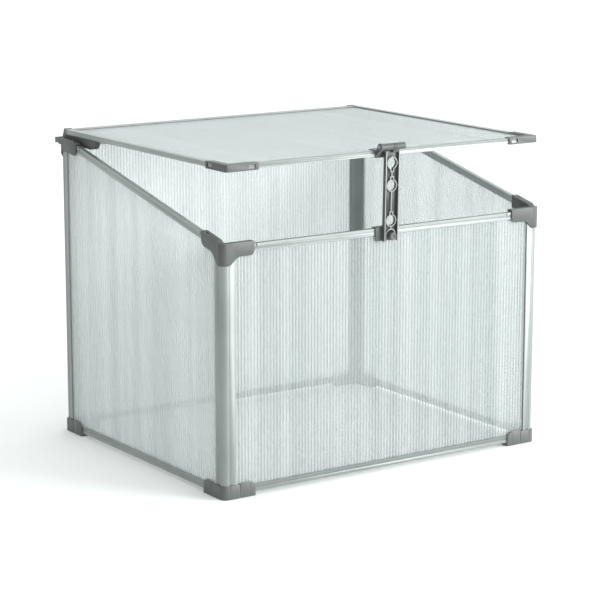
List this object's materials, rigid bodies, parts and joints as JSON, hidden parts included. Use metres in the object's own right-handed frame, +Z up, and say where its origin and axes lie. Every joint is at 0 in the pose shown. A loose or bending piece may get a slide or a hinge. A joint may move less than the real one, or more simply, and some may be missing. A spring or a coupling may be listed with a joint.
{
  "type": "cold frame",
  "caption": "Open-bottomed cold frame of translucent twin-wall panels in slim aluminium rails, with grey corner fittings and a rear-hinged lid held up by a keyhole stay.",
  "frame": {"origin": "on the floor, under the middle of the object's whole box (the frame's own footprint is centred 11.6 mm nearer the front)", "axes": "+Z up, -Y to the low front side, +X to the right when seen from the front"},
  "size_m": [0.6, 0.5492, 0.5155],
  "materials": {
    "aluminium": "satin mill-finish extrusion",
    "grey_plastic": "fine-textured moulding",
    "twin_wall": "translucent fluted sheet",
    "steel": "dull plated"
  },
  "bodies": {
    "frame": {"bottom_rail_front": "aluminium", "bottom_rail_left": "aluminium", "bottom_rail_rear": "aluminium", "bottom_rail_right": "aluminium", "connector_front_left": "grey_plastic", "connector_front_right": "grey_plastic", "connector_rear_left": "grey_plastic", "connector_rear_right": "grey_plastic", "foot_front_left": "grey_plastic", "foot_front_right": "grey_plastic", "foot_rear_left": "grey_plastic", "foot_rear_right": "grey_plastic", "panel_front": "twin_wall", "panel_left": "twin_wall", "panel_rear": "twin_wall", "panel_right": "twin_wall", "post_front_left": "aluminium", "post_front_right": "aluminium", "post_rear_left": "aluminium", "post_rear_right": "aluminium", "rail_screw_front_left": "steel", "rail_screw_front_right": "steel", "rail_screw_rear_left": "steel", "rail_screw_rear_right": "steel", "rail_screw_side_front_left": "steel", "rail_screw_side_front_right": "steel", "rail_screw_side_rear_left": "steel", "rail_screw_side_rear_right": "steel", "side_rail_left": "aluminium", "side_rail_right": "aluminium", "stay_peg": "grey_plastic", "stay_peg_clip": "grey_plastic", "top_rail_front": "aluminium", "top_rail_rear": "aluminium"},
    "hinge_pins": {"hinge_pin_left": "steel", "hinge_pin_right": "steel"},
    "lid": {"arm_screw_front_left": "steel", "arm_screw_front_right": "steel", "arm_screw_rear_left": "steel", "arm_screw_rear_right": "steel", "hinge_arm_left": "grey_plastic", "hinge_arm_right": "grey_plastic", "lid_corner_left": "grey_plastic", "lid_corner_right": "grey_plastic", "lid_panel": "twin_wall", "lid_rail_front": "aluminium", "lid_rail_left": "aluminium", "lid_rail_rear": "aluminium", "lid_rail_right": "aluminium", "stay_clip": "grey_plastic", "stay_pin": "steel"},
    "stay": {"stay": "grey_plastic"}
  },
  "joints": [
    {"name": "lid_close", "type": "hinge", "parent": "frame", "child": "hinge_pins", "pos_m": [0, 0.24035, 0.484], "axis": [1, 0, 0], "range_deg": [0, 11.5]},
    {"name": "lid_open", "type": "hinge", "parent": "hinge_pins", "child": "lid", "pos_m": [0, 0.24035, 0.484], "axis": [-1, 0, 0], "range_deg": [0, 78]},
    {"name": "stay_swing", "type": "hinge", "parent": "lid", "child": "stay", "pos_m": [0, -0.26865, 0.5095], "axis": [-1, 0, 0], "range_deg": [0, 270]}
  ],
  "couplings": [
    {"joint": "stay_swing", "follows": "lid_close", "ratio": 23.47}
  ]
}
